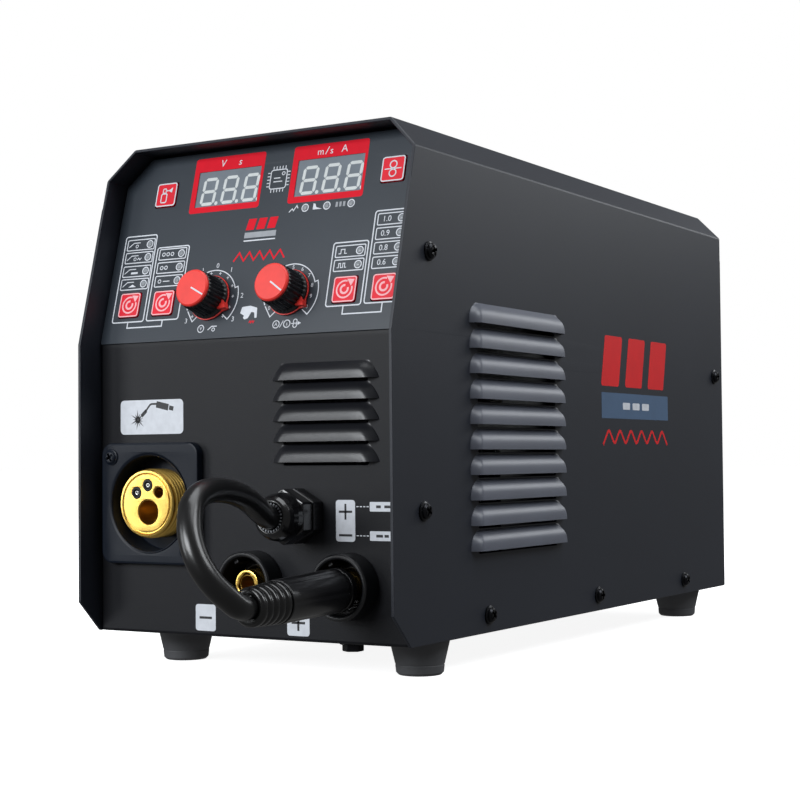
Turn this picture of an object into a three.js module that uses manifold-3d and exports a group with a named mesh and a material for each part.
// A portable inverter welder for wire, stick and lift-TIG work, in millimetres.
// +Z is up and the control front faces -Y. The parts are drawn from the front bottom edge
// of the cover; at the end the whole machine moves so that the origin lies on the floor,
// under the middle of its box.
import * as THREE from "three";
import { mergeVertices } from "three/addons/utils/BufferGeometryUtils.js";
import Module from "manifold-3d";

const wasm = await Module();
wasm.setup();

// ---- Driving dimensions -------------------------------------------------------------------

const SHEET = 1.5; // thickness of the folded steel
const GAP = 0.3; // play between pieces that touch
const FAR = 500; // reach of a cutter that passes right through

// Cover: a folded sheet over the left side, the top and the right side.
const WIDTH = 176;
const LENGTH = 404;
const HEIGHT = 234;
const CHAMFER = 14.5; // both top edges, at 45 degrees
const KNEE = 137.5; // height where the front edge starts to lean back
const LEAN = THREE.MathUtils.degToRad(14.7);
const NOSE_CUT = 14.5; // bottom front corner of each side
const HALF = WIDTH / 2;

// Front panel: an upright lower part and a leaning control part, set back inside the cover.
const RECESS = 14.5;
const FLANGE = 26; // depth of the flange all round the panel
const OVERLAY = 0.6; // printed control sheet

// Base, feet and rear.
const FOOT_HEIGHT = 17;
const FOOT_TOP_R = 13.8;
const FOOT_BOTTOM_R = 11;
const FOOT_X = 67.5;
const FOOT_Y = [56.5, 373.5];
const UPSTAND = 17; // turned-up edge of the base pan
const REAR_Y = LENGTH - 2; // outer face of the rear panel
const REAR_FLANGE = 22; // depth of the flange all round the rear panel
const FOOT_BOLT_R = 2.6;

// Screws of the right side: [y, z].
const SCREW_HOLE_R = 2.4;
const SIDE_SCREWS = [[32.5, 173.5], [26, 58.5], [389.5, 131]];
for (let i = 0; i < 3; i++) SIDE_SCREWS.push([86 + i * 124, 8.3]);

// Louvres: the lowest lip, the pitch and the size of one hood.
const SIDE_LOUVRES = {
  count: 10, x: 118.5, low: 38.6, pitch: 11.74,
  width: 99, height: 9.6, depth: 4.5, taper: 8,
};
const FRONT_LOUVRES = {
  count: 5, x: 44.2, low: 80.4, pitch: 9.25,
  width: 57, height: 7.8, depth: 4, taper: 6,
};
const HOOD_SKIN = 1.1; // stretched steel of a louvre hood
const MOUTH_MARGIN = 1.5; // sheet left beside and above each louvre's mouth

// Wire-bay door in the left side: [y, z] corners of the opening, and its hinge.
const DOOR = { y0: 62, y1: 378, z0: 30, z1: 206, corner: 8, play: 0.8 };
const HINGE = { x: -HALF - 2.8, y: DOOR.y1 + 1.2, pin: 1.2, barrel: 2.5, lengths: 5 };
const HINGE_END = 12; // from the opening's corner to the first and last barrel
const LATCH = { y: DOOR.y0 + 15, z: 118, hole: 4.4 };

// Things on the control panel: [across, up the slope from the bend].
const DISPLAY = { width: 37.7, height: 19.3, depth: 8 };
const DISPLAYS = { volt_display: [-23.1, 76.8], amp_display: [34.9, 77] };
const KEY = 12.4;
const KEY_CORNER = 1.2;
const KEY_RISE = 0.6; // how far a key stands above the overlay
const KEYS = {
  gas_test_button: [-59.7, 76.3],
  wire_inch_button: [69.9, 76.7],
  process_button: [-71.3, 19.9],
  gas_choice_button: [-50.7, 19.9],
  trigger_mode_button: [52.5, 20.3],
  wire_size_button: [73.1, 20.3],
};
const KNOBS = { voltage: [-22.4, 20.6], current: [22.4, 20.6] };
const KNOB = { base: 11, body: 9.4, height: 13.2, cap: 9, flutes: 18 };
const KNOB_LIFT = 0.5; // a knob's height above the overlay
const KNOB_SHAFT_R = 3;
const SHAFT_HOLE_R = 3.8;
const POINTER_TURN = { voltage: 62, current: 55 }; // degrees from straight down to the lower right
const BOARD_DEPTH = 11; // face of the control board behind the overlay
const KEY_LIP = 1.2; // the edge behind the panel that keeps a key in

// Things on the upright panel: [across, up].
const TORCH = [-53.2, 61.5];
const TORCH_PLATE = { width: 58, height: 57.5, thick: 4.5, corner: 6, recess: 22.8 };
const BOSS = { r: 16.4, front: 6.2 };
const SOCKETS = { negative: [6, 25.6], positive: [57.1, 25.6] };
const SOCKET = { outer: 14.7, inner: 12.2, stand: 11, floor: -6, insert: 6.3, insert_stand: 7.6 };
const SOCKET_BORE = 4.8;
const GLAND = [31.9, 56.4];
const GLAND_HOLE_R = 8.3;
const GLAND_REACH = 26; // the dome nut's end, in front of the panel

// The short polarity lead and its plug.
const LEAD_R = 5.25;
const PLUG_TURN = 15; // the drooping plug pivots this far behind the panel
const PLUG_DROOP = THREE.MathUtils.degToRad(2);
const PLUG = { start: 8.4, waist: 57, end: 77 };
const LEAD_ROUTE = [
  [31.9, -12.2, 56.5],
  [32, -17.5, 58.8],
  [32.2, -23, 62],
  [32.6, -30, 65.3],
  [33.2, -38, 67.6],
  [34, -46.5, 68.9],
  [35, -55.5, 69.3],
  [36.2, -63.9, 68.4],
  [37.4, -70.1, 66.2],
  [38.8, -74.8, 63],
  [40.5, -78, 58.6],
  [42.5, -80.6, 53.6],
  [45, -82.2, 48],
  [47.8, -82.5, 42.2],
  [50.6, -81.2, 36.8],
  [53.2, -78.2, 31.7],
  [55.6, -73.6, 27.1],
  [56.9, -69.6, 24],
  [57.1, -65, 22.5],
];

// Inside: a divider parts the wire bay (left) from the electronics (right).
const DIVIDER_X = -18.5;
const ROLL = { y: 82, z: 45, r: 16, width: 12 };
const PRESS_R = 11.6;
const ARM = { pivot: [54, 87], tip: 116, thick: 10, rise: 3 };
const LEVER = { x: TORCH[0] - 9.5, y: 109, z: 50, stud: 2.5, length: 66 };
const SPOOL = { y: 283, z: 117, r: 97, width: 54, x: -51, bore: 25.8 };
const FAN = { x: 33, z: 136, size: 92, depth: 25, r: 43 };
const FAN_SLOTS = { count: 9, pitch: 9, height: 5.2 };
const ROCKER = [-52, 192];
const MAINS = [-52, 36];
const MAINS_HOLE_R = 10.4;
const MAINS_REACH = 19; // the mains gland's end, behind the rear panel
const GAS = [60, 38];
const GAS_HOLE_R = 5.4;

// ---- Materials ----------------------------------------------------------------------------

const look = (color, roughness, metalness = 0) =>
  new THREE.MeshStandardMaterial({ color, roughness, metalness });
const POWDER_COAT = look(0x1b1c20, 0.55);
const OVERLAY_FILM = look(0x2b2c31, 0.45);
const BLACK_PLASTIC = look(0x101114, 0.4);
const BLUE_BLACK = look(0x1a1d26, 0.4);
const RED = look(0xd8232c, 0.4);
const CORAL = look(0xf2483e, 0.45);
const WINDOW = look(0x7c8288, 0.2);
const BRASS = look(0xd9a93a, 0.25, 1);
const RUBBER = look(0x0d0d0f, 0.8);
const DARK_STEEL = look(0x15161a, 0.35, 0.8);
const ZINC = look(0xa9adb0, 0.35, 1);
const ALUMINIUM = look(0xc4c6c8, 0.4, 1);
const BOARD = look(0x1d5a35, 0.6);
const COPPER = look(0xb8683c, 0.35, 1);
const FERRITE = look(0x2a2a2c, 0.8);
const NYLON = look(0xd8d6cc, 0.5);

// ---- Small tools --------------------------------------------------------------------------

// A closed solid from any closed geometry.
function solid(geometry) {
  if (!geometry.isBufferGeometry) return geometry;
  const bare = geometry.clone();
  bare.deleteAttribute("normal");
  bare.deleteAttribute("uv");
  const merged = mergeVertices(bare, 1e-4);
  const corners = merged.index.array;
  const faces = [];
  for (let i = 0; i < corners.length; i += 3) {
    const [a, b, c] = [corners[i], corners[i + 1], corners[i + 2]];
    if (a !== b && b !== c && c !== a) faces.push(a, b, c);
  }
  return new wasm.Manifold(new wasm.Mesh({
    numProp: 3,
    vertProperties: merged.attributes.position.array,
    triVerts: new Uint32Array(faces),
  }));
}

const join = (first, ...rest) => rest.reduce((sum, next) => sum.add(solid(next)), solid(first));
const cut = (first, ...tools) => tools.reduce((left, tool) => left.subtract(solid(tool)), solid(first));
const overlap = (first, second) => solid(first).intersect(solid(second));

// A named piece from one closed solid.
function piece(name, shape, material) {
  const mesh = solid(shape).getMesh();
  const geometry = new THREE.BufferGeometry();
  geometry.setAttribute("position", new THREE.BufferAttribute(mesh.vertProperties, 3));
  geometry.setIndex(new THREE.BufferAttribute(mesh.triVerts, 1));
  geometry.computeVertexNormals();
  const part = new THREE.Mesh(geometry, material);
  part.name = name;
  return part;
}

function box(x0, x1, y0, y1, z0, z1) {
  const block = new THREE.BoxGeometry(x1 - x0, y1 - y0, z1 - z0);
  return block.translate((x0 + x1) / 2, (y0 + y1) / 2, (z0 + z1) / 2);
}

// A round bar along Z.
function rod(r, z0, z1, x = 0, y = 0, sides = 24, r_end = r) {
  const bar = new THREE.CylinderGeometry(r_end, r, z1 - z0, sides);
  return bar.rotateX(Math.PI / 2).translate(x, y, (z0 + z1) / 2);
}

// A shape turned about Z, from [radius, z] points.
function turned(profile, sides = 32) {
  const points = profile.map(([r, z]) => new THREE.Vector2(r, z));
  return new THREE.LatheGeometry(points, sides).rotateX(Math.PI / 2);
}

// A flat outline raised from z0 to z1.
function raised(points, z0, z1) {
  const corners = () => points.map(([x, y]) => new THREE.Vector2(x, y));
  const shape = points instanceof THREE.Shape ? points : new THREE.Shape(corners());
  const options = { depth: z1 - z0, bevelEnabled: false, curveSegments: 2 };
  return new THREE.ExtrudeGeometry(shape, options).translate(0, 0, z0);
}

// A rectangle with round corners, centred on x, y.
function softRectangle(width, height, r, x = 0, y = 0) {
  const shape = new THREE.Shape();
  const [a, b] = [width / 2 - r, height / 2 - r];
  shape.absarc(x + a, y + b, r, 0, Math.PI / 2);
  shape.absarc(x - a, y + b, r, Math.PI / 2, Math.PI);
  shape.absarc(x - a, y - b, r, Math.PI, Math.PI * 1.5);
  shape.absarc(x + a, y - b, r, Math.PI * 1.5, Math.PI * 2);
  return shape;
}

// Working frames: each has its own x, y and outward z, and an origin.
function frame(origin, x_axis, y_axis) {
  const [x, y] = [new THREE.Vector3(...x_axis), new THREE.Vector3(...y_axis)];
  const matrix = new THREE.Matrix4().makeBasis(x, y, x.clone().cross(y));
  return matrix.setPosition(...origin);
}
const FRONT = frame([0, RECESS, 0], [1, 0, 0], [0, 0, 1]);
const SLOPE = frame([0, RECESS, KNEE], [1, 0, 0], [0, Math.sin(LEAN), Math.cos(LEAN)]);
const RIGHT = frame([HALF, 0, 0], [0, 1, 0], [0, 0, 1]);
const LEFT = frame([0, 0, 0], [0, -1, 0], [0, 0, 1]); // looks towards -X, origin at mid width
const REAR = frame([0, REAR_Y, 0], [-1, 0, 0], [0, 0, 1]);
const on = (place, geometry) => geometry.clone().applyMatrix4(place);

// An outline in x and z, drawn out along Y, and one in y and z, drawn out along X.
const alongY = (points, y0, y1) => on(frame([0, 0, 0], [1, 0, 0], [0, 0, 1]), raised(points, -y1, -y0));
const alongX = (points, x0, x1) => on(frame([0, 0, 0], [0, 1, 0], [0, 0, 1]), raised(points, x0, x1));

// Puts pieces into a group that stands in a working frame.
function grouped(place, pieces) {
  const group = new THREE.Group();
  place.decompose(group.position, group.quaternion, group.scale);
  group.add(...pieces);
  return group;
}

// The cover's outline seen from the front, shrunk by an inset, open at the floor.
function outline(inset, floor = 0) {
  const corner = CHAMFER + inset * Math.tan(Math.PI / 8);
  const [half, top] = [HALF - inset, HEIGHT - inset];
  return [
    [-half, floor], [-half, HEIGHT - corner], [corner - HALF, top],
    [HALF - corner, top], [half, HEIGHT - corner], [half, floor],
  ];
}

// A stamped louvre hood, open downwards: x along the lip, y up from it, z outward.
function hood({ width, height, depth, taper }, inset) {
  const drop = inset > 0 ? -1 : 0;
  const [w, h, d] = [width / 2 - inset, height - inset, depth - inset];
  const back = inset > 0 ? -2 * SHEET : -SHEET / 2;
  const section = [[back, h], [0, h], [0.62 * d, 0.68 * h], [d, 0.3 * h], [d, drop], [back, drop]];
  const ends = [[-w, back], [-w, 0], [taper - w, d], [w - taper, d], [w, 0], [w, back]];
  const side = frame([0, 0, 0], [0, 0, 1], [0, 1, 0]);
  const plan = frame([0, 0, 0], [1, 0, 0], [0, 0, 1]);
  return overlap(on(side, raised(section, -w, w)), on(plan, raised(ends, -h, -drop)));
}

function louvres(bank, place) {
  const hoods = [];
  const mouths = [];
  for (let i = 0; i < bank.count; i++) {
    const shift = new THREE.Matrix4().makeTranslation(bank.x, bank.low + i * bank.pitch, 0);
    const spot = place.clone().multiply(shift);
    const turn = spot.toArray();
    hoods.push(hood(bank, 0).transform(turn));
    const half = bank.width / 2 - MOUTH_MARGIN;
    const behind = on(spot, box(-half, half, 0, bank.height - MOUTH_MARGIN, -9, 0));
    const hollow = hood(bank, HOOD_SKIN).transform(turn);
    mouths.push(cut(hollow, on(spot, box(-FAR, FAR, -9, 0, -9, 0))).add(solid(behind)));
  }
  return { hoods, mouths };
}

// ---- Shell --------------------------------------------------------------------------------

const leanOffset = (z) => Math.tan(LEAN) * Math.max(0, z - KNEE);

function hingeBarrels(first) {
  const span = (DOOR.z1 - DOOR.z0 - 2 * HINGE_END) / HINGE.lengths;
  const barrels = [];
  for (let i = first; i < HINGE.lengths; i += 2) {
    const z = DOOR.z0 + HINGE_END + i * span;
    barrels.push([z + GAP, z + span - GAP]);
  }
  return barrels;
}

// A hinge barrel with its leaf: the cover's leaf runs to the rear, the door's to the front.
function barrelOnCover([z0, z1]) {
  const leaf = box(-HALF - 1.3, -HALF + 0.2, HINGE.y, HINGE.y + 4, z0, z1);
  return join(rod(HINGE.barrel, z0, z1, HINGE.x, HINGE.y, 16), leaf);
}

function barrelOnDoor([z0, z1]) {
  const leaf = box(-HALF - 1.3, -HALF - GAP, DOOR.y1 - 6, HINGE.y, z0, z1);
  const weld = box(-HALF - 0.6, -HALF + 0.2, DOOR.y1 - 6, DOOR.y1 - 2, z0, z1);
  return join(rod(HINGE.barrel, z0, z1, HINGE.x, HINGE.y, 16), leaf, weld);
}

const screwHoles = () => SIDE_SCREWS.map(([y, z]) => on(RIGHT, rod(SCREW_HOLE_R, -9, 9, y, z, 12)));
const pinHole = () => rod(HINGE.pin + GAP, 0, HEIGHT, HINGE.x, HINGE.y, 16);

function cover() {
  const skin = [...outline(0), ...outline(SHEET).reverse()];
  const top = HEIGHT + 9;
  const lean_cut = alongX([[-20, KNEE], [0, KNEE], [leanOffset(top), top], [-20, top]], -FAR, FAR);
  const nose_cut = alongX([[-9, -9], [NOSE_CUT + 9, -9], [-9, NOSE_CUT + 9]], -FAR, FAR);
  const { hoods, mouths } = louvres(SIDE_LOUVRES, RIGHT);
  const opening = softRectangle(DOOR.y1 - DOOR.y0, DOOR.z1 - DOOR.z0, DOOR.corner,
    -(DOOR.y0 + DOOR.y1) / 2, (DOOR.z0 + DOOR.z1) / 2);
  const barrels = hingeBarrels(0).map(barrelOnCover);
  const body = join(alongY(skin, 0, LENGTH), ...hoods);
  const doorway = on(LEFT, raised(opening, HALF - 2 * SHEET, HALF + 2 * SHEET));
  const opened = cut(body, lean_cut, nose_cut, ...mouths, ...screwHoles(), doorway);
  return cut(join(opened, ...barrels), pinHole());
}

function sideDoor() {
  const { y0, y1, z0, z1, corner, play } = DOOR;
  const face = softRectangle(y1 - y0 - 2 * play, z1 - z0 - 2 * play, corner, -(y0 + y1) / 2, (z0 + z1) / 2);
  const barrels = hingeBarrels(1).map(barrelOnDoor);
  const skin = on(LEFT, raised(face, HALF - SHEET, HALF));
  const rim = 3 * SHEET;
  const upper = box(-HALF + 0.5, -HALF + 7, y0 + 14, y1 - 14, z1 - rim - SHEET, z1 - rim);
  const lower = box(-HALF + 0.5, -HALF + 7, y0 + 14, y1 - 14, z0 + rim, z0 + rim + SHEET);
  const latch_hole = on(LEFT, rod(LATCH.hole, 0, FAR, -LATCH.y, LATCH.z, 16));
  return cut(join(skin, ...barrels, upper, lower), pinHole(), latch_hole);
}

function hingePin() {
  const top = DOOR.z1 - 11;
  return join(rod(HINGE.pin, DOOR.z0 + 11, top, HINGE.x, HINGE.y, 12),
    rod(HINGE.barrel - 0.4, top, top + 1.2, HINGE.x, HINGE.y, 12));
}

// A quarter-turn latch: the finger bar stands upright while the pawl clears the door frame.
function doorLatch() {
  const dial = turned([[0, HALF + 0.4], [11, HALF + 0.4], [11, HALF + 2.2], [10, HALF + 3], [0, HALF + 3]]);
  const bar = box(-2.6, 2.6, -9.5, 9.5, HALF + 2.5, HALF + 6);
  const stem = rod(4, HALF - 5, HALF + 1, 0, 0, 16);
  const pawl = box(-4.5, 4.5, -6, 23, HALF - 5, HALF - 3);
  return join(dial, bar, stem, pawl);
}

// The region behind the front panel's face, from a set-back to a depth.
function behindFace(start, depth) {
  const top = HEIGHT + 5;
  const face = [[RECESS, 0], [RECESS, KNEE], [RECESS + leanOffset(top), top]];
  const near = face.map(([y, z]) => [y + start, z]);
  const far = face.map(([y, z]) => [y + depth, z]).reverse();
  return [...near, ...far];
}

// Holes for the displays and the controls' shafts, in the slope's own frame.
function displayAndShaftHoles() {
  const [w, h] = [DISPLAY.width / 2 + GAP, DISPLAY.height / 2 + GAP];
  return [
    ...Object.values(DISPLAYS).map(([x, y]) => box(x - w, x + w, y - h, y + h, -9, 9)),
    ...Object.values(KNOBS).map(([x, y]) => rod(SHAFT_HOLE_R, -9, 9, x, y, 16)),
  ];
}

function frontPanel() {
  const outer_block = alongX(behindFace(0, FLANGE), -HALF, HALF);
  const inner_block = alongX(behindFace(SHEET, FAR), -HALF, HALF);
  const outside = overlap(outer_block, alongY(outline(SHEET + GAP, 0), 0, FAR));
  const inside = overlap(inner_block, alongY(outline(2 * SHEET + GAP, -9), 0, FAR));
  const pan_slot = box(-FAR, FAR, RECESS + SHEET, FAR, -9, SHEET + GAP);
  const { hoods, mouths } = louvres(FRONT_LOUVRES, FRONT);
  const round = (r, [x, z], sides = 32) => on(FRONT, rod(r, -9, 9, x, z, sides));
  const bores = [
    round(TORCH_PLATE.recess + 2.3, TORCH),
    round(SOCKET.outer - 1.7, SOCKETS.negative),
    round(SOCKET.outer - 1.7, SOCKETS.positive),
    round(GLAND_HOLE_R, GLAND, 20),
  ];
  const keys = Object.values(KEYS).map(([x, y]) => {
    const h = KEY / 2 + GAP;
    return on(SLOPE, box(x - h, x + h, y - h, y + h, -9, 9));
  });
  const windows = displayAndShaftHoles().map((hole) => on(SLOPE, hole));
  const body = join(cut(outside, inside, pan_slot), ...hoods);
  return cut(body, ...mouths, ...bores, ...windows, ...keys, ...screwHoles());
}

// The printed sheet over the leaning part, in the slope's own frame.
function controlOverlay() {
  const steep = Math.cos(LEAN);
  const edge = outline(SHEET + 2 * GAP).slice(1, 5).map(([x, z]) => [x, (z - KNEE) / steep - 1.2]);
  const half = edge[3][0];
  const sheet = raised([[-half, 0.6], ...edge, [half, 0.6]], GAP, GAP + OVERLAY);
  const side = KEY + 2 * GAP;
  const keyHole = ([x, y]) => raised(softRectangle(side, side, KEY_CORNER, x, y), -9, 9);
  const keys = Object.values(KEYS).map(keyHole);
  return cut(sheet, ...displayAndShaftHoles(), ...keys);
}

function basePan() {
  const side = HALF - SHEET - GAP;
  const [front, back] = [RECESS + SHEET + GAP, REAR_Y - SHEET - GAP];
  const floor = box(-side, side, front, back, 0, SHEET);
  const [side_front, side_back] = [RECESS + FLANGE + 2, REAR_Y - REAR_FLANGE - 2];
  const wings = [-1, 1].map((hand) => {
    const [a, b] = hand < 0 ? [-side, -side + SHEET] : [side - SHEET, side];
    return box(a, b, side_front, side_back, 0, UPSTAND);
  });
  const bolt_holes = [];
  for (const x of [-FOOT_X, FOOT_X]) {
    for (const y of FOOT_Y) bolt_holes.push(rod(FOOT_BOLT_R, -9, 9, x, y, 12));
  }
  return cut(join(floor, ...wings), ...bolt_holes, ...screwHoles());
}

function rearPanel() {
  const outside = alongY(outline(SHEET + GAP, SHEET + GAP), REAR_Y - REAR_FLANGE, REAR_Y);
  const inside = alongY(outline(2 * SHEET + GAP, -9), -FAR, REAR_Y - SHEET);
  const { count, pitch, height } = FAN_SLOTS;
  const slots = [];
  for (let i = 0; i < count; i++) {
    const rise = (i - (count - 1) / 2) * pitch;
    const half = Math.sqrt(FAN.r ** 2 - rise ** 2);
    const z = FAN.z + rise;
    slots.push(box(FAN.x - half, FAN.x + half, REAR_Y - 9, REAR_Y + 9, z - height / 2, z + height / 2));
  }
  const rocker = box(ROCKER[0] - 14.3, ROCKER[0] + 14.3, 300, FAR, ROCKER[1] - 11.3, ROCKER[1] + 11.3);
  const mains = on(REAR, rod(MAINS_HOLE_R, -9, 9, -MAINS[0], MAINS[1], 24));
  const gas = on(REAR, rod(GAS_HOLE_R, -9, 9, -GAS[0], GAS[1], 20));
  return cut(outside, inside, ...slots, rocker, mains, gas, ...screwHoles());
}

// The divider stands on the pan and carries the wire feeder and the spool hub.
function divider() {
  const sheet = box(DIVIDER_X - SHEET / 2, DIVIDER_X + SHEET / 2, 53, REAR_Y - 30, SHEET + GAP, HEIGHT - 8);
  const motor_hole = on(LEFT, rod(22, -FAR, FAR, -ROLL.y, ROLL.z, 24));
  const hub_hole = on(LEFT, rod(8.4, -FAR, FAR, -SPOOL.y, SPOOL.z, 16));
  return cut(sheet, motor_hole, hub_hole);
}

function foot() {
  const profile = [
    [0, 0], [FOOT_TOP_R, 0], [FOOT_TOP_R, -1.5], [FOOT_BOTTOM_R, 1.2 - FOOT_HEIGHT],
    [FOOT_BOTTOM_R - 1.2, -FOOT_HEIGHT], [6, -FOOT_HEIGHT], [6, 5 - FOOT_HEIGHT], [0, 5 - FOOT_HEIGHT],
  ];
  return turned(profile.reverse().map(([r, z]) => [r, z - GAP * (z > -1)]), 24);
}

function feet() {
  return FOOT_Y.flatMap((y, row) => [-FOOT_X, FOOT_X].map((x, hand) => {
    const part = piece(`foot_${["front", "rear"][row]}_${["left", "right"][hand]}`, foot(), RUBBER);
    part.position.set(x, y, 0);
    return part;
  }));
}

// A pan-head screw with a cross recess, along z, its head resting on z = 0.
function screw() {
  const head = turned([[0, GAP], [4.4, GAP], [4.4, 1.3], [3.4, 2.5], [1.8, 3], [0, 3]], 16);
  const recess = [box(-2.4, 2.4, -0.5, 0.5, 1.4, 9), box(-0.5, 0.5, -2.4, 2.4, 1.4, 9)];
  return cut(join(head, rod(1.9, -5, 1, 0, 0, 10)), ...recess);
}

function sideScrews() {
  return SIDE_SCREWS.map(([y, z], i) => {
    const part = piece(`side_screw_${i + 1}`, screw(), DARK_STEEL);
    part.position.set(y, z, 0);
    return part;
  });
}

// ---- Controls -----------------------------------------------------------------------------

function display() {
  const [w, h] = [DISPLAY.width / 2, DISPLAY.height / 2];
  return box(-w, w, -h, h, -DISPLAY.depth, GAP + OVERLAY / 2);
}

function displays() {
  return Object.entries(DISPLAYS).map(([name, [x, y]]) => {
    const part = piece(name, display(), WINDOW);
    part.position.set(x, y, 0);
    return part;
  });
}

// A square key: a raised cap with a wider lip behind the panel that keeps it in.
function key() {
  const back = -SHEET - GAP;
  const half = KEY / 2 + KEY_LIP;
  const cap = raised(softRectangle(KEY, KEY, KEY_CORNER), back - 1, GAP + OVERLAY + KEY_RISE);
  const lip = box(-half, half, -half, half, back - 2.2, back);
  return join(cap, lip);
}

function keys() {
  return Object.entries(KEYS).map(([name, [x, y]]) => {
    const part = piece(name, key(), RED);
    part.position.set(x, y, 0);
    return part;
  });
}

// A fluted knob with a pointer on its skirt; the bore takes the control's shaft.
function knobBody() {
  const bottom = GAP + OVERLAY + KNOB_LIFT;
  const skirt = rod(KNOB.base, bottom, bottom + 2, 0, 0, 24);
  const arrow = [[-2.4, 1 - KNOB.base], [0, -KNOB.base - 2.4], [2.4, 1 - KNOB.base]];
  const pointer = raised(arrow, bottom, bottom + 2);
  const grip = [];
  for (let i = 0; i < 2 * KNOB.flutes; i++) {
    const angle = (i * Math.PI) / KNOB.flutes;
    const r = KNOB.body + (i % 2 ? 0.35 : -0.35);
    grip.push([r * Math.cos(angle), r * Math.sin(angle)]);
  }
  const body = join(skirt, pointer, raised(grip, bottom, bottom + KNOB.height));
  return cut(body, rod(KNOB_SHAFT_R + GAP, 0, bottom + 10, 0, 0, 16));
}

function knobCap() {
  const base = GAP + OVERLAY + KNOB_LIFT + KNOB.height + GAP;
  const top = base + 2;
  return turned([[0, base], [KNOB.cap, base], [KNOB.cap, top - 0.8], [KNOB.cap - 0.8, top], [0, top]], 24);
}

function knobs() {
  return Object.entries(KNOBS).flatMap(([name, [x, y]]) => {
    const pair = [
      piece(`${name}_knob`, knobBody(), BLACK_PLASTIC),
      piece(`${name}_knob_cap`, knobCap(), CORAL),
    ];
    for (const part of pair) {
      part.position.set(x, y, 0);
      part.rotation.z = THREE.MathUtils.degToRad(POINTER_TURN[name]);
    }
    return pair;
  });
}

// The board behind the panel, with the keys' switches and the two rotary controls on it.
function controlBoard() {
  const board = box(-80, 80, 8, 88, -BOARD_DEPTH - 1.6, -BOARD_DEPTH);
  const keySwitch = ([x, y]) => box(x - 3, x + 3, y - 3, y + 3, -BOARD_DEPTH - 1, -5.2);
  const switches = Object.values(KEYS).map(keySwitch);
  const controls = Object.values(KNOBS).flatMap(([x, y]) => [
    rod(8, -BOARD_DEPTH - 1, -4, x, y, 20),
    rod(3.5, -5, 1, x, y, 16),
    rod(KNOB_SHAFT_R, 0, 9.5, x, y, 12),
  ]);
  return join(board, ...switches, ...controls);
}

// ---- Torch socket, in the front frame -----------------------------------------------------

function torchPlate() {
  const { width, height, thick, corner, recess: r } = TORCH_PLATE;
  const plate = raised(softRectangle(width, height, corner), GAP, thick);
  const cup = rod(r + 2, -12, GAP + 1, 0, 0, 32);
  return cut(join(plate, cup), rod(r, -9, 9, 0, 0, 32), rod(10.3, -FAR, FAR, 0, 0, 24));
}

function torchBoss() {
  const { r, front } = BOSS;
  const steps = [[0, -22], [10, -22], [10, -8.7], [r, -8.7]];
  for (let i = 0; i < 3; i++) {
    const z = -3.4 + i * 2.7;
    steps.push([r, z], [r - 0.9, z + 0.8], [r, z + 1.6]);
  }
  const body = turned([...steps, [r - 0.6, front], [0, front]], 24);
  const holes = [
    rod(6.1, -14, FAR, 1.1, -4.1, 24),
    rod(2.85, -8.2, FAR, -5.8, 5, 12),
    rod(2.85, -8.2, FAR, 0.9, 8.6, 12),
    rod(2.85, -8.2, FAR, 7.3, 5.2, 12),
  ];
  return cut(body, ...holes);
}

// ---- Power sockets, in the front frame ----------------------------------------------------

function socketBody() {
  const { outer, inner, stand, floor, insert } = SOCKET;
  const profile = [
    [insert + GAP, floor - 14], [insert + GAP, floor], [inner, floor], [inner, stand],
    [outer - 0.8, stand], [outer, stand - 0.8], [outer, GAP], [outer - 2, GAP], [outer - 2, floor - 14],
    [insert + GAP, floor - 14],
  ];
  return turned(profile.reverse(), 28);
}

// A brass insert with a round bore and the keyway that the plug's lug enters by.
function socketInsert() {
  const { insert, insert_stand } = SOCKET;
  const keyway = box(-1.4, 1.4, 0, insert - 1, -8, FAR);
  return cut(join(rod(insert, -22, insert_stand), rod(4, -30, -21)), rod(SOCKET_BORE, -16, FAR), keyway);
}

// ---- Polarity lead ------------------------------------------------------------------------

// A hexagon with a corner at the top and its corners rounded off.
function spannerHex(r, z0, z1) {
  const corners = [30, 90, 150, 210, 270, 330].map(THREE.MathUtils.degToRad);
  const flats = raised(corners.map((a) => [r * Math.cos(a), r * Math.sin(a)]), z0, z1);
  return overlap(flats, rod(r - 0.5, z0, z1, 0, 0, 24));
}

function glandBody() {
  const hex = spannerHex(12.6, GAP, 7.6);
  return cut(join(hex, rod(8, -9, 1, 0, 0, 20), rod(9, 7, 8.6, 0, 0, 24)), rod(6, -FAR, FAR, 0, 0, 20));
}

function glandNut() {
  const dome = turned([
    [0, 15], [10.9, 15], [10.9, 19], [10.3, 22], [8.8, 25], [7.4, GLAND_REACH], [0, GLAND_REACH],
  ], 24);
  return cut(join(spannerHex(12.6, 9, 16), dome), rod(LEAD_R + GAP, 0, FAR, 0, 0, 20));
}

const plugLine = (turn) => {
  const along = new THREE.Matrix4().makeTranslation(0, 0, -PLUG_TURN);
  const swing = new THREE.Matrix4().makeRotationX(turn);
  return swing.multiply(new THREE.Matrix4().makeTranslation(0, 0, PLUG_TURN)).premultiply(along);
};

function plugBody() {
  const { start, waist } = PLUG;
  const profile = [[0, start], [8.6, start], [9.8, start + 1.6], [9.8, 18], [9.3, waist], [0, waist]];
  const flats = [[-18, -9], [9, 18]].map(([a, b]) => box(a, b, -20, 20, start - 1, 24));
  return cut(join(turned(profile, 24), rod(4.4, -9, start + 1, 0, 0, 16, 3.3)), ...flats);
}

function plugBoot() {
  const { waist, end } = PLUG;
  const profile = [[0, waist + GAP]];
  const ribs = 5;
  const step = (end - waist - GAP) / ribs;
  for (let i = 0; i < ribs; i++) {
    const r = 9 - i * 0.2;
    const z = waist + GAP + i * step;
    profile.push([r, z], [r, z + step * 0.62], [r - 1, z + step * 0.72], [r - 1, z + step * 0.98]);
  }
  profile.push([LEAD_R + 1.6, end], [0, end]);
  return turned(profile, 20);
}

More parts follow.
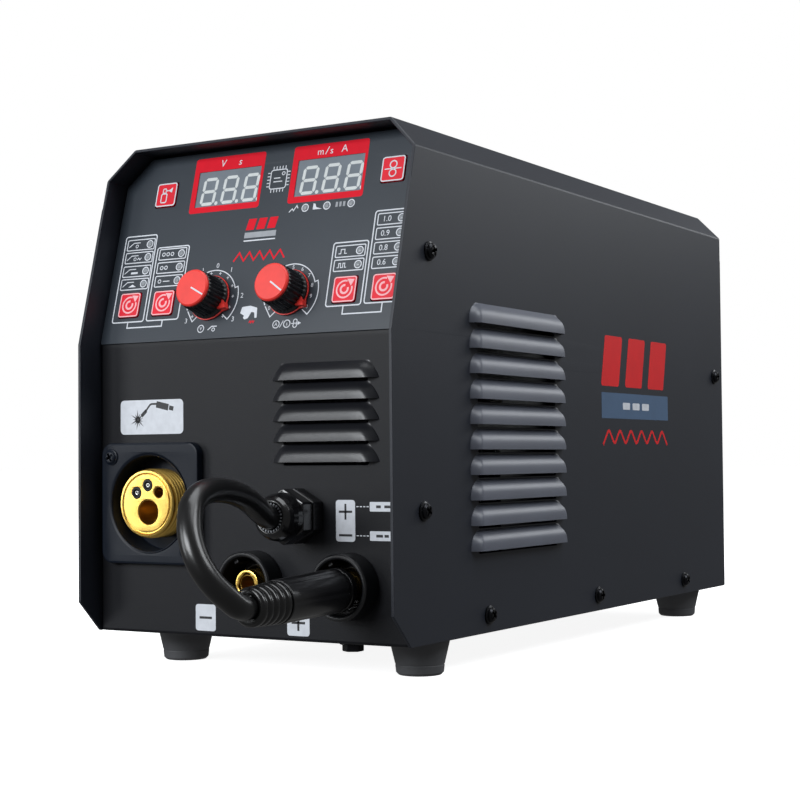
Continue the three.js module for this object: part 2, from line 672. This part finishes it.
function polarityLead() {
  const route = new THREE.CatmullRomCurve3(LEAD_ROUTE.map((point) => new THREE.Vector3(...point)));
  const section = new THREE.Shape();
  section.absarc(0, 0, LEAD_R, 0, Math.PI * 2);
  const options = { steps: 30, curveSegments: 5, extrudePath: route, bevelEnabled: false };
  return new THREE.ExtrudeGeometry(section, options);
}

// ---- Wire bay: pieces turned or placed about X ---------------------------------------------

// A bar along X, from one x to another, at y and z.
const across = (x, y, z) => frame([x, y, z], [0, 1, 0], [0, 0, 1]);
const axle = (r, x0, x1, y, z, sides = 24) => on(across(0, y, z), rod(r, x0, x1, 0, 0, sides));
const WIRE_X = TORCH[0];
const MOUNT_X = DIVIDER_X - SHEET / 2 - GAP;

// The motor passes through the divider; its plate carries the guides and the pivots.
function feedMotor() {
  const plate = box(MOUNT_X - 8, MOUNT_X, 42, 124, 22, 104);
  const motor = axle(20, MOUNT_X - 4, 40, ROLL.y, ROLL.z, 28);
  const shaft = axle(4, WIRE_X - 9, MOUNT_X - 4, ROLL.y, ROLL.z, 16);
  const line = ROLL.z + ROLL.r;
  const guide = ([y0, y1]) => box(WIRE_X - 5, MOUNT_X - 4, y0, y1, line - 5, line + 5);
  const guides = [[44, 58], [104, 122]].map(guide);
  const bore = on(frame([WIRE_X, 0, line], [1, 0, 0], [0, 0, 1]), rod(1.2, -FAR, FAR, 0, 0, 10));
  const arm_pin = axle(3, WIRE_X - 8, MOUNT_X - 4, ...ARM.pivot, 16);
  return join(cut(join(plate, ...guides), bore), motor, shaft, arm_pin);
}

function driveRoll() {
  const half = ROLL.width / 2;
  const { r } = ROLL;
  const profile = [
    [4 + GAP, -half], [r, -half], [r, -2.6], [r - 0.8, -2], [r, -1.4], [r, 1.4], [r - 0.8, 2], [r, 2.6],
    [r, half], [4 + GAP, half], [4 + GAP, -half],
  ];
  return on(across(WIRE_X, ROLL.y, ROLL.z), turned(profile, 24));
}

const PRESS_Z = ROLL.z + ROLL.r + PRESS_R + 0.9;

function pressureRoll() {
  const ring = [[3 + GAP, -4], [PRESS_R, -4], [PRESS_R, 4], [3 + GAP, 4], [3 + GAP, -4]];
  return on(across(WIRE_X, ROLL.y, PRESS_Z), turned(ring, 24));
}

// The arm hangs from its front pivot over the rolls and ends in a fork for the tension screw.
function pressureArm() {
  const { pivot, tip, thick, rise } = ARM;
  const low = pivot[1] - thick / 2 + rise;
  const top = low + thick;
  const bar = box(WIRE_X - 5, WIRE_X + 5, pivot[0], tip, low, top);
  const eye = axle(8, WIRE_X - 6, WIRE_X + 10, pivot[0], pivot[1], 20);
  const cheek = box(WIRE_X + 5, WIRE_X + 9, ROLL.y - 8, ROLL.y + 8, PRESS_Z - 6, top);
  const web = box(WIRE_X + 4, WIRE_X + 9, pivot[0], ROLL.y + 8, low, top);
  const roll_pin = axle(3, WIRE_X - 5, WIRE_X + 6, ROLL.y, PRESS_Z, 16);
  const room = axle(PRESS_R + 1.5, WIRE_X - 5.5, WIRE_X + 4.6, ROLL.y, PRESS_Z, 28);
  const ear = box(LEVER.x - 5, WIRE_X + 5, LEVER.y - 9, tip, low, top);
  const fork = box(LEVER.x - 3.2, LEVER.x + 3.2, LEVER.y - 4, tip + 9, 0, HEIGHT);
  const body = join(cut(join(bar, web, ear), room, fork), eye, cheek, roll_pin);
  return cut(body, axle(3 + GAP, -FAR, FAR, pivot[0], pivot[1], 16));
}

// The tension screw lies back on its stop, along +Y, until it is swung up into the fork.
function tensionLever() {
  const { x, y, z, stud, length } = LEVER;
  const along = frame([x, y, z], [-1, 0, 0], [0, 0, 1]);
  const eye = axle(4.5, x - 2.8, x + 2.8, y, z, 20);
  const grip = [];
  for (let i = 0; i < 24; i++) {
    const r = i % 2 ? 8.6 : 7.8;
    grip.push([r * Math.cos((i * Math.PI) / 12), r * Math.sin((i * Math.PI) / 12)]);
  }
  const knob = on(along, raised(grip, 46, length));
  const screw_bar = on(along, rod(stud, 0, length - 2, 0, 0, 12));
  return cut(join(eye, screw_bar, knob), axle(2 + GAP, -FAR, FAR, y, z, 12));
}

function leverPivot() {
  const { x, y, z } = LEVER;
  const post = box(x + 3.4, MOUNT_X - 4, y - 5, y + 5, z - 5, z + 5);
  return join(post, axle(2, x - 4, x + 4, y, z, 12));
}

const spoolFrame = () => frame([SPOOL.x, SPOOL.y, SPOOL.z], [0, -1, 0], [0, 0, 1]);

function spoolHub() {
  const wall = SPOOL.x - MOUNT_X;
  const half = SPOOL.width / 2;
  const seat = -half - GAP - 0.5;
  const axle_r = SPOOL.bore - 0.6;
  const profile = [
    [0, wall - 10], [8, wall - 10], [8, wall], [33, wall], [33, seat], [axle_r, seat],
    [axle_r, half + 0.6], [30, half + 0.6], [30, half + 4.6], [26, half + 5.6], [0, half + 5.6],
  ];
  return on(spoolFrame(), turned(profile, 24));
}

function wireReel() {
  const { r, width, bore } = SPOOL;
  const half = width / 2;
  const core = 50;
  const profile = [
    [bore, -half], [r, -half], [r, -half + 3], [core, -half + 3], [core, half - 3], [r, half - 3],
    [r, half], [bore, half], [bore, -half],
  ];
  return on(spoolFrame(), turned(profile, 32));
}

function wireCoil() {
  const half = SPOOL.width / 2 - 3 - GAP;
  const ring = [[50 + GAP, -half], [84, -half], [84, half], [50 + GAP, half], [50 + GAP, -half]];
  return on(spoolFrame(), turned(ring, 32));
}

// ---- Electronics --------------------------------------------------------------------------

function powerBoard() {
  const board = box(-12, 82, 112, 350, 20, 22);
  const corners = [[-6, 118], [76, 118], [-6, 344], [76, 344]];
  const posts = corners.map(([x, y]) => rod(3, SHEET + GAP, 21, x, y, 8));
  const capacitors = [0, 1, 2].map((i) => rod(13, 21, 62, 66, 258 + i * 30, 20));
  const relay = box(0, 22, 322, 344, 21, 40);
  return join(board, ...posts, ...capacitors, relay);
}

function heatsink() {
  const [x0, x1, y0, y1] = [-8, 76, 122, 236];
  const base = box(x0, x1, y0, y1, 22.3, 30);
  const fins = [];
  for (let i = 0; i < 10; i++) {
    const x = x0 + i * ((x1 - x0 - 2.4) / 9);
    fins.push(box(x, x + 2.4, y0, y1, 29, 92));
  }
  return join(base, ...fins);
}

function transformer() {
  const core = cut(box(-8, 46, 252, 306, 22.3, 84), box(4, 34, 200, 400, 36, 71));
  const winding = cut(box(4.5, 33.5, 247, 311, 37, 70), box(9, 29, 240, 251, 42, 65));
  return join(core, box(14, 24, 252, 306, 30, 76), winding);
}

// ---- Rear fittings, in the rear frame: x runs towards the machine's left ---------------------

function fanFrame() {
  const half = FAN.size / 2;
  const [z0, z1] = [-SHEET - GAP - FAN.depth, -SHEET - GAP];
  const ring = cut(box(-half, half, -half, half, z0, z1), rod(FAN.r + 1, -FAR, FAR, 0, 0, 32));
  const hub = rod(15, z0, z0 + 4, 0, 0, 24);
  const bars = [box(-half + 1, half - 1, -2, 2, z0, z0 + 3), box(-2, 2, -half + 1, half - 1, z0, z0 + 3)];
  const corners = [[41, 41], [41, -41], [-41, 41], [-41, -41]];
  const bolt_holes = corners.map(([x, y]) => rod(2.2, -FAR, FAR, x, y, 10));
  return cut(join(ring, hub, ...bars), ...bolt_holes);
}

function fanRotor() {
  const [z0, z1] = [-SHEET - GAP - FAN.depth + 4.6, -SHEET - GAP - 3];
  const blades = [];
  for (let i = 0; i < 7; i++) {
    const blade = new THREE.BoxGeometry(FAN.r - 15, 1.6, 21);
    blade.translate(13 + (FAN.r - 13) / 2 - 1.5, 0, 0).rotateX(0.62).rotateZ((i * 2 * Math.PI) / 7);
    blades.push(blade.translate(0, 0, (z0 + z1) / 2));
  }
  return overlap(join(rod(16, z0, z1, 0, 0, 28), ...blades), rod(FAN.r, z0, z1, 0, 0, 32));
}

function switchBody() {
  const rim = cut(box(-16, 16, -13, 13, GAP, 2.4), box(-12.4, 12.4, -8.9, 8.9, -9, 9));
  const cup = cut(box(-14, 14, -11, 11, -18, 1), box(-12.4, 12.4, -8.9, 8.9, -13, 9));
  const pins = [-7, 7].map((x) => box(x - 3, x + 3, -1, 1, -24, -17));
  return join(rim, cup, ...pins);
}

// A two-wing rocker that turns about its middle; it rests tipped to its off side.
function rocker() {
  const tip = 0.2;
  const section = [[-11.3, 5.2], [0, 2.2], [11.3, 5.2], [10.5, -2.5], [4, -8.5], [-4, -8.5], [-10.5, -2.5]];
  const [c, s] = [Math.cos(tip), Math.sin(tip)];
  const tipped = section.map(([x, y]) => [(x * c - y * s) * 0.93, x * s + y * c]);
  return on(frame([0, 0, 0], [1, 0, 0], [0, 0, 1]), raised(tipped, -8.4, 8.4));
}

function mainsGland() {
  const hex = overlap(rod(15.6, GAP, 8, 0, 0, 6), rod(14.6, GAP, 8, 0, 0, 24));
  const dome = turned([[0, 7], [12.5, 7], [12.5, 14], [9.5, MAINS_REACH], [0, MAINS_REACH]], 24);
  return cut(join(hex, rod(10, -8, 1), dome), rod(5.5, -FAR, FAR, 0, 0, 20));
}

function gasValve() {
  const barbs = [[0, -4], [5, -4], [5, 6]];
  for (let i = 0; i < 3; i++) barbs.push([4.6, 6 + i * 4], [3.4, 9.6 + i * 4]);
  const nozzle = turned([...barbs, [0, 17.6]], 20);
  const nut = rod(9, GAP, 5, 0, 0, 6);
  const body = box(-13, 13, -13, 30, -36, -3.4);
  return cut(join(nozzle, nut, body), rod(2, -20, FAR, 0, 0, 12));
}

// ---- Assembly -----------------------------------------------------------------------------

// Pieces drawn about their own z axis, set on a spot of a working frame.
const spotOn = (place, [x, y]) => place.clone().multiply(new THREE.Matrix4().makeTranslation(x, y, 0));

const machine = new THREE.Group();
machine.add(
  piece("cover", cover(), POWDER_COAT),
  piece("base_pan", basePan(), POWDER_COAT),
  piece("front_panel", frontPanel(), POWDER_COAT),
  piece("rear_panel", rearPanel(), POWDER_COAT),
  piece("divider", divider(), ZINC),
  piece("side_door", sideDoor(), POWDER_COAT),
  piece("door_hinge_pin", hingePin(), ZINC),
  ...feet(),
  grouped(RIGHT, sideScrews()),
  grouped(spotOn(LEFT, [-LATCH.y, LATCH.z]), [piece("door_latch", doorLatch(), BLACK_PLASTIC)]),
  grouped(SLOPE, [
    piece("control_overlay", controlOverlay(), OVERLAY_FILM),
    piece("control_board", controlBoard(), BOARD),
    ...displays(),
    ...keys(),
    ...knobs(),
  ]),
  grouped(spotOn(FRONT, TORCH), [
    piece("torch_plate", torchPlate(), BLUE_BLACK),
    piece("torch_boss", torchBoss(), BRASS),
  ]),
);
for (const [name, spot] of Object.entries(SOCKETS)) {
  machine.add(grouped(spotOn(FRONT, spot), [
    piece(`${name}_socket`, socketBody(), BLACK_PLASTIC),
    piece(`${name}_insert`, socketInsert(), BRASS),
  ]));
}
machine.add(
  grouped(spotOn(FRONT, GLAND), [
    piece("gland_body", glandBody(), BLACK_PLASTIC),
    piece("gland_nut", glandNut(), BLACK_PLASTIC),
  ]),
  grouped(spotOn(FRONT, SOCKETS.positive).multiply(plugLine(PLUG_DROOP)), [
    piece("plug_body", plugBody(), BLACK_PLASTIC),
    piece("plug_boot", plugBoot(), RUBBER),
  ]),
  piece("polarity_lead", polarityLead(), RUBBER),
  piece("feed_motor", join(feedMotor(), leverPivot()), ALUMINIUM),
  piece("drive_roll", driveRoll(), ZINC),
  piece("pressure_arm", pressureArm(), BLACK_PLASTIC),
  piece("pressure_roll", pressureRoll(), ZINC),
  piece("tension_lever", tensionLever(), BLACK_PLASTIC),
  piece("spool_hub", spoolHub(), NYLON),
  piece("wire_reel", wireReel(), BLACK_PLASTIC),
  piece("wire_coil", wireCoil(), COPPER),
  piece("power_board", powerBoard(), BOARD),
  piece("heatsink", heatsink(), ALUMINIUM),
  piece("transformer", transformer(), FERRITE),
  grouped(spotOn(REAR, [-FAN.x, FAN.z]), [
    piece("fan_frame", fanFrame(), BLACK_PLASTIC),
    piece("fan_rotor", fanRotor(), BLACK_PLASTIC),
  ]),
  grouped(spotOn(REAR, [-ROCKER[0], ROCKER[1]]), [
    piece("power_switch", switchBody(), BLACK_PLASTIC),
    piece("power_rocker", rocker(), RED),
  ]),
  grouped(spotOn(REAR, [-MAINS[0], MAINS[1]]), [piece("mains_gland", mainsGland(), BLACK_PLASTIC)]),
  grouped(spotOn(REAR, [-GAS[0], GAS[1]]), [piece("gas_valve", gasValve(), BRASS)]),
);

// Stand the machine on its feet, with the origin under the middle of its box.
const FRONT_MOST = RECESS - GLAND_REACH;
const REAR_MOST = REAR_Y + MAINS_REACH;
machine.position.set(0, -(FRONT_MOST + REAR_MOST) / 2, FOOT_HEIGHT);

export default machine;
